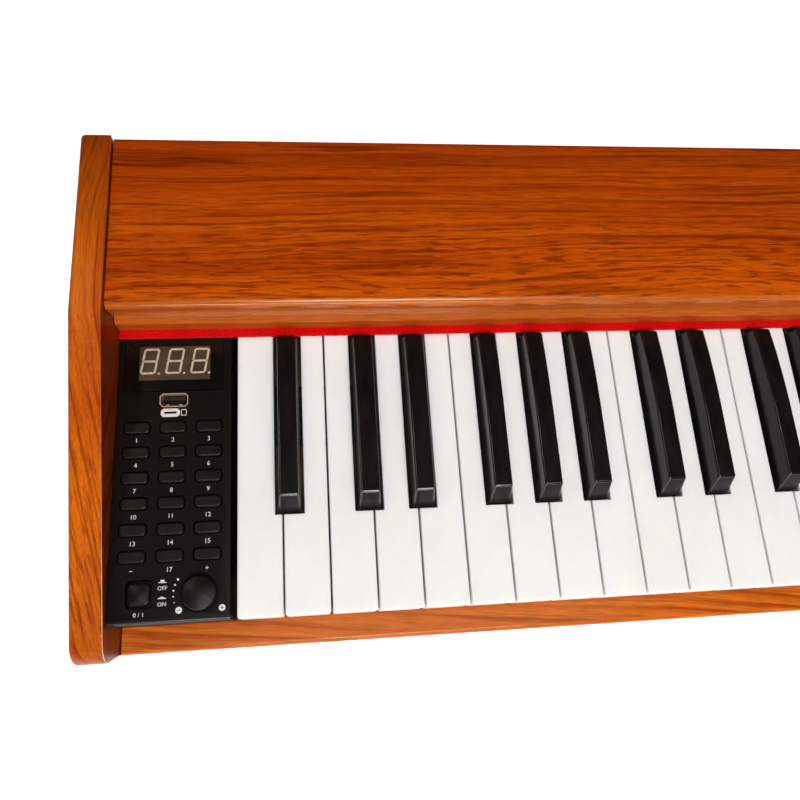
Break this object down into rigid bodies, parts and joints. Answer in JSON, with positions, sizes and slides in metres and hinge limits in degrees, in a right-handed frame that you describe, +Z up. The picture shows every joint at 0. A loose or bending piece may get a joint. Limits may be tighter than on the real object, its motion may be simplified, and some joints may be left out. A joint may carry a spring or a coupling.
{
  "type": "digital piano",
  "caption": "Table-top digital piano in a wood-grain case with full-size hinged keys, red key felt and a button panel at the bass end.",
  "frame": {"origin": "middle of the underside of the case", "axes": "+X to the player's right along the keys, +Y away from the player, +Z up"},
  "size_m": [1.319, 0.2668, 0.112],
  "materials": {
    "wood_foil": "semi-gloss orange-brown wood-grain foil on board",
    "red_felt": "matt red wool felt",
    "white_key": "glossy warm white moulded plastic",
    "black_key": "satin black moulded plastic",
    "black_panel": "fine matt black moulded plastic",
    "black_button": "matt black rubber-coated plastic",
    "smoked_window": "smoked clear plastic window",
    "frame_steel": "brown-grey coated sheet steel",
    "circuit_board": "green solder mask",
    "socket_shell": "bright plated steel",
    "speaker_basket": "black coated steel and paper cone"
  },
  "bodies": {
    "case": {"left_cheek": "wood_foil", "right_cheek": "wood_foil", "top_panel": "wood_foil", "top_moulding": "wood_foil", "front_rail": "wood_foil", "bottom_board": "wood_foil", "back_panel": "wood_foil", "felt_strip": "red_felt", "jack_plate": "black_panel", "main_board": "circuit_board", "speaker_left": "speaker_basket", "speaker_right": "speaker_basket", "key_frame": "frame_steel", "contact_board": "circuit_board", "control_panel": "black_panel", "display_window": "smoked_window", "panel_board": "circuit_board", "usb_socket": "socket_shell"},
    "white_key_a0": {"white_key_a0": "white_key"},
    "black_key_a0_sharp": {"black_key_a0_sharp": "black_key"},
    "white_key_b0": {"white_key_b0": "white_key"},
    "white_key_c1": {"white_key_c1": "white_key"},
    "black_key_c1_sharp": {"black_key_c1_sharp": "black_key"},
    "white_key_d1": {"white_key_d1": "white_key"},
    "black_key_d1_sharp": {"black_key_d1_sharp": "black_key"},
    "white_key_e1": {"white_key_e1": "white_key"},
    "white_key_f1": {"white_key_f1": "white_key"},
    "black_key_f1_sharp": {"black_key_f1_sharp": "black_key"},
    "white_key_g1": {"white_key_g1": "white_key"},
    "black_key_g1_sharp": {"black_key_g1_sharp": "black_key"},
    "white_key_a1": {"white_key_a1": "white_key"},
    "black_key_a1_sharp": {"black_key_a1_sharp": "black_key"},
    "white_key_b1": {"white_key_b1": "white_key"},
    "white_key_c2": {"white_key_c2": "white_key"},
    "black_key_c2_sharp": {"black_key_c2_sharp": "black_key"},
    "white_key_d2": {"white_key_d2": "white_key"},
    "black_key_d2_sharp": {"black_key_d2_sharp": "black_key"},
    "white_key_e2": {"white_key_e2": "white_key"},
    "white_key_comb": {"white_key_comb": "white_key"},
    "black_key_comb": {"black_key_comb": "black_key"},
    "button_row1_left": {"button_row1_left": "black_button"},
    "button_row1_middle": {"button_row1_middle": "black_button"},
    "button_row1_right": {"button_row1_right": "black_button"},
    "button_row2_left": {"button_row2_left": "black_button"},
    "button_row2_middle": {"button_row2_middle": "black_button"},
    "button_row2_right": {"button_row2_right": "black_button"},
    "button_row3_left": {"button_row3_left": "black_button"},
    "button_row3_middle": {"button_row3_middle": "black_button"},
    "button_row3_right": {"button_row3_right": "black_button"},
    "button_row4_left": {"button_row4_left": "black_button"},
    "button_row4_middle": {"button_row4_middle": "black_button"},
    "button_row4_right": {"button_row4_right": "black_button"},
    "button_row5_left": {"button_row5_left": "black_button"},
    "button_row5_middle": {"button_row5_middle": "black_button"},
    "button_row5_right": {"button_row5_right": "black_button"},
    "button_row6_left": {"button_row6_left": "black_button"},
    "button_row6_middle": {"button_row6_middle": "black_button"},
    "button_row6_right": {"button_row6_right": "black_button"},
    "power_button": {"power_button": "black_button"},
    "volume_knob": {"volume_knob": "black_button"}
  },
  "joints": [
    {"name": "white_key_a0_hinge", "type": "hinge", "parent": "case", "child": "white_key_a0", "pos_m": [-0.56975, 0.0754, 0.06035], "axis": [1, 0, 0], "range_deg": [0, 2.98], "stiffness_Nm_per_rad": 0.6, "springref_deg": -17.19},
    {"name": "black_key_a0_sharp_hinge", "type": "hinge", "parent": "case", "child": "black_key_a0_sharp", "pos_m": [-0.5545, 0.0754, 0.06035], "axis": [1, 0, 0], "range_deg": [0, 2.98], "stiffness_Nm_per_rad": 0.6, "springref_deg": -17.19},
    {"name": "white_key_b0_hinge", "type": "hinge", "parent": "case", "child": "white_key_b0", "pos_m": [-0.54625, 0.0754, 0.06035], "axis": [1, 0, 0], "range_deg": [0, 2.98], "stiffness_Nm_per_rad": 0.6, "springref_deg": -17.19},
    {"name": "white_key_c1_hinge", "type": "hinge", "parent": "case", "child": "white_key_c1", "pos_m": [-0.52275, 0.0754, 0.06035], "axis": [1, 0, 0], "range_deg": [0, 2.98], "stiffness_Nm_per_rad": 0.6, "springref_deg": -17.19},
    {"name": "black_key_c1_sharp_hinge", "type": "hinge", "parent": "case", "child": "black_key_c1_sharp", "pos_m": [-0.5133, 0.0754, 0.06035], "axis": [1, 0, 0], "range_deg": [0, 2.98], "stiffness_Nm_per_rad": 0.6, "springref_deg": -17.19},
    {"name": "white_key_d1_hinge", "type": "hinge", "parent": "case", "child": "white_key_d1", "pos_m": [-0.49925, 0.0754, 0.06035], "axis": [1, 0, 0], "range_deg": [0, 2.98], "stiffness_Nm_per_rad": 0.6, "springref_deg": -17.19},
    {"name": "black_key_d1_sharp_hinge", "type": "hinge", "parent": "case", "child": "black_key_d1_sharp", "pos_m": [-0.4851, 0.0754, 0.06035], "axis": [1, 0, 0], "range_deg": [0, 2.98], "stiffness_Nm_per_rad": 0.6, "springref_deg": -17.19},
    {"name": "white_key_e1_hinge", "type": "hinge", "parent": "case", "child": "white_key_e1", "pos_m": [-0.47575, 0.0754, 0.06035], "axis": [1, 0, 0], "range_deg": [0, 2.98], "stiffness_Nm_per_rad": 0.6, "springref_deg": -17.19},
    {"name": "white_key_f1_hinge", "type": "hinge", "parent": "case", "child": "white_key_f1", "pos_m": [-0.45225, 0.0754, 0.06035], "axis": [1, 0, 0], "range_deg": [0, 2.98], "stiffness_Nm_per_rad": 0.6, "springref_deg": -17.19},
    {"name": "black_key_f1_sharp_hinge", "type": "hinge", "parent": "case", "child": "black_key_f1_sharp", "pos_m": [-0.444, 0.0754, 0.06035], "axis": [1, 0, 0], "range_deg": [0, 2.98], "stiffness_Nm_per_rad": 0.6, "springref_deg": -17.19},
    {"name": "white_key_g1_hinge", "type": "hinge", "parent": "case", "child": "white_key_g1", "pos_m": [-0.42875, 0.0754, 0.06035], "axis": [1, 0, 0], "range_deg": [0, 2.98], "stiffness_Nm_per_rad": 0.6, "springref_deg": -17.19},
    {"name": "black_key_g1_sharp_hinge", "type": "hinge", "parent": "case", "child": "black_key_g1_sharp", "pos_m": [-0.417, 0.0754, 0.06035], "axis": [1, 0, 0], "range_deg": [0, 2.98], "stiffness_Nm_per_rad": 0.6, "springref_deg": -17.19},
    {"name": "white_key_a1_hinge", "type": "hinge", "parent": "case", "child": "white_key_a1", "pos_m": [-0.40525, 0.0754, 0.06035], "axis": [1, 0, 0], "range_deg": [0, 2.98], "stiffness_Nm_per_rad": 0.6, "springref_deg": -17.19},
    {"name": "black_key_a1_sharp_hinge", "type": "hinge", "parent": "case", "child": "black_key_a1_sharp", "pos_m": [-0.39, 0.0754, 0.06035], "axis": [1, 0, 0], "range_deg": [0, 2.98], "stiffness_Nm_per_rad": 0.6, "springref_deg": -17.19},
    {"name": "white_key_b1_hinge", "type": "hinge", "parent": "case", "child": "white_key_b1", "pos_m": [-0.38175, 0.0754, 0.06035], "axis": [1, 0, 0], "range_deg": [0, 2.98], "stiffness_Nm_per_rad": 0.6, "springref_deg": -17.19},
    {"name": "white_key_c2_hinge", "type": "hinge", "parent": "case", "child": "white_key_c2", "pos_m": [-0.35825, 0.0754, 0.06035], "axis": [1, 0, 0], "range_deg": [0, 2.98], "stiffness_Nm_per_rad": 0.6, "springref_deg": -17.19},
    {"name": "black_key_c2_sharp_hinge", "type": "hinge", "parent": "case", "child": "black_key_c2_sharp", "pos_m": [-0.3488, 0.0754, 0.06035], "axis": [1, 0, 0], "range_deg": [0, 2.98], "stiffness_Nm_per_rad": 0.6, "springref_deg": -17.19},
    {"name": "white_key_d2_hinge", "type": "hinge", "parent": "case", "child": "white_key_d2", "pos_m": [-0.33475, 0.0754, 0.06035], "axis": [1, 0, 0], "range_deg": [0, 2.98], "stiffness_Nm_per_rad": 0.6, "springref_deg": -17.19},
    {"name": "black_key_d2_sharp_hinge", "type": "hinge", "parent": "case", "child": "black_key_d2_sharp", "pos_m": [-0.3206, 0.0754, 0.06035], "axis": [1, 0, 0], "range_deg": [0, 2.98], "stiffness_Nm_per_rad": 0.6, "springref_deg": -17.19},
    {"name": "white_key_e2_hinge", "type": "hinge", "parent": "case", "child": "white_key_e2", "pos_m": [-0.31125, 0.0754, 0.06035], "axis": [1, 0, 0], "range_deg": [0, 2.98], "stiffness_Nm_per_rad": 0.6, "springref_deg": -17.19},
    {"name": "white_key_comb_hinge", "type": "hinge", "parent": "case", "child": "white_key_comb", "pos_m": [0.1705, 0.0754, 0.06035], "axis": [1, 0, 0], "range_deg": [0, 2.98], "stiffness_Nm_per_rad": 24, "springref_deg": -17.19},
    {"name": "black_key_comb_hinge", "type": "hinge", "parent": "case", "child": "black_key_comb", "pos_m": [0.1705, 0.0754, 0.06035], "axis": [1, 0, 0], "range_deg": [0, 2.98], "stiffness_Nm_per_rad": 16.8, "springref_deg": -17.19},
    {"name": "button_row1_left_press", "type": "slide", "parent": "case", "child": "button_row1_left", "axis": [0, 0, -1], "range_m": [0, 0.0008], "stiffness_N_per_m": 400, "springref_m": -0.002},
    {"name": "button_row1_middle_press", "type": "slide", "parent": "case", "child": "button_row1_middle", "axis": [0, 0, -1], "range_m": [0, 0.0008], "stiffness_N_per_m": 400, "springref_m": -0.002},
    {"name": "button_row1_right_press", "type": "slide", "parent": "case", "child": "button_row1_right", "axis": [0, 0, -1], "range_m": [0, 0.0008], "stiffness_N_per_m": 400, "springref_m": -0.002},
    {"name": "button_row2_left_press", "type": "slide", "parent": "case", "child": "button_row2_left", "axis": [0, 0, -1], "range_m": [0, 0.0008], "stiffness_N_per_m": 400, "springref_m": -0.002},
    {"name": "button_row2_middle_press", "type": "slide", "parent": "case", "child": "button_row2_middle", "axis": [0, 0, -1], "range_m": [0, 0.0008], "stiffness_N_per_m": 400, "springref_m": -0.002},
    {"name": "button_row2_right_press", "type": "slide", "parent": "case", "child": "button_row2_right", "axis": [0, 0, -1], "range_m": [0, 0.0008], "stiffness_N_per_m": 400, "springref_m": -0.002},
    {"name": "button_row3_left_press", "type": "slide", "parent": "case", "child": "button_row3_left", "axis": [0, 0, -1], "range_m": [0, 0.0008], "stiffness_N_per_m": 400, "springref_m": -0.002},
    {"name": "button_row3_middle_press", "type": "slide", "parent": "case", "child": "button_row3_middle", "axis": [0, 0, -1], "range_m": [0, 0.0008], "stiffness_N_per_m": 400, "springref_m": -0.002},
    {"name": "button_row3_right_press", "type": "slide", "parent": "case", "child": "button_row3_right", "axis": [0, 0, -1], "range_m": [0, 0.0008], "stiffness_N_per_m": 400, "springref_m": -0.002},
    {"name": "button_row4_left_press", "type": "slide", "parent": "case", "child": "button_row4_left", "axis": [0, 0, -1], "range_m": [0, 0.0008], "stiffness_N_per_m": 400, "springref_m": -0.002},
    {"name": "button_row4_middle_press", "type": "slide", "parent": "case", "child": "button_row4_middle", "axis": [0, 0, -1], "range_m": [0, 0.0008], "stiffness_N_per_m": 400, "springref_m": -0.002},
    {"name": "button_row4_right_press", "type": "slide", "parent": "case", "child": "button_row4_right", "axis": [0, 0, -1], "range_m": [0, 0.0008], "stiffness_N_per_m": 400, "springref_m": -0.002},
    {"name": "button_row5_left_press", "type": "slide", "parent": "case", "child": "button_row5_left", "axis": [0, 0, -1], "range_m": [0, 0.0008], "stiffness_N_per_m": 400, "springref_m": -0.002},
    {"name": "button_row5_middle_press", "type": "slide", "parent": "case", "child": "button_row5_middle", "axis": [0, 0, -1], "range_m": [0, 0.0008], "stiffness_N_per_m": 400, "springref_m": -0.002},
    {"name": "button_row5_right_press", "type": "slide", "parent": "case", "child": "button_row5_right", "axis": [0, 0, -1], "range_m": [0, 0.0008], "stiffness_N_per_m": 400, "springref_m": -0.002},
    {"name": "button_row6_left_press", "type": "slide", "parent": "case", "child": "button_row6_left", "axis": [0, 0, -1], "range_m": [0, 0.0008], "stiffness_N_per_m": 400, "springref_m": -0.002},
    {"name": "button_row6_middle_press", "type": "slide", "parent": "case", "child": "button_row6_middle", "axis": [0, 0, -1], "range_m": [0, 0.0008], "stiffness_N_per_m": 400, "springref_m": -0.002},
    {"name": "button_row6_right_press", "type": "slide", "parent": "case", "child": "button_row6_right", "axis": [0, 0, -1], "range_m": [0, 0.0008], "stiffness_N_per_m": 400, "springref_m": -0.002},
    {"name": "power_button_press", "type": "slide", "parent": "case", "child": "power_button", "axis": [0, 0, -1], "range_m": [0, 0.002], "stiffness_N_per_m": 400, "springref_m": -0.004},
    {"name": "volume_knob_turn", "type": "hinge", "parent": "case", "child": "volume_knob", "pos_m": [-0.5991, -0.1032, 0.0745], "axis": [0, 0, 1], "range_deg": [-150, 150]}
  ]
}
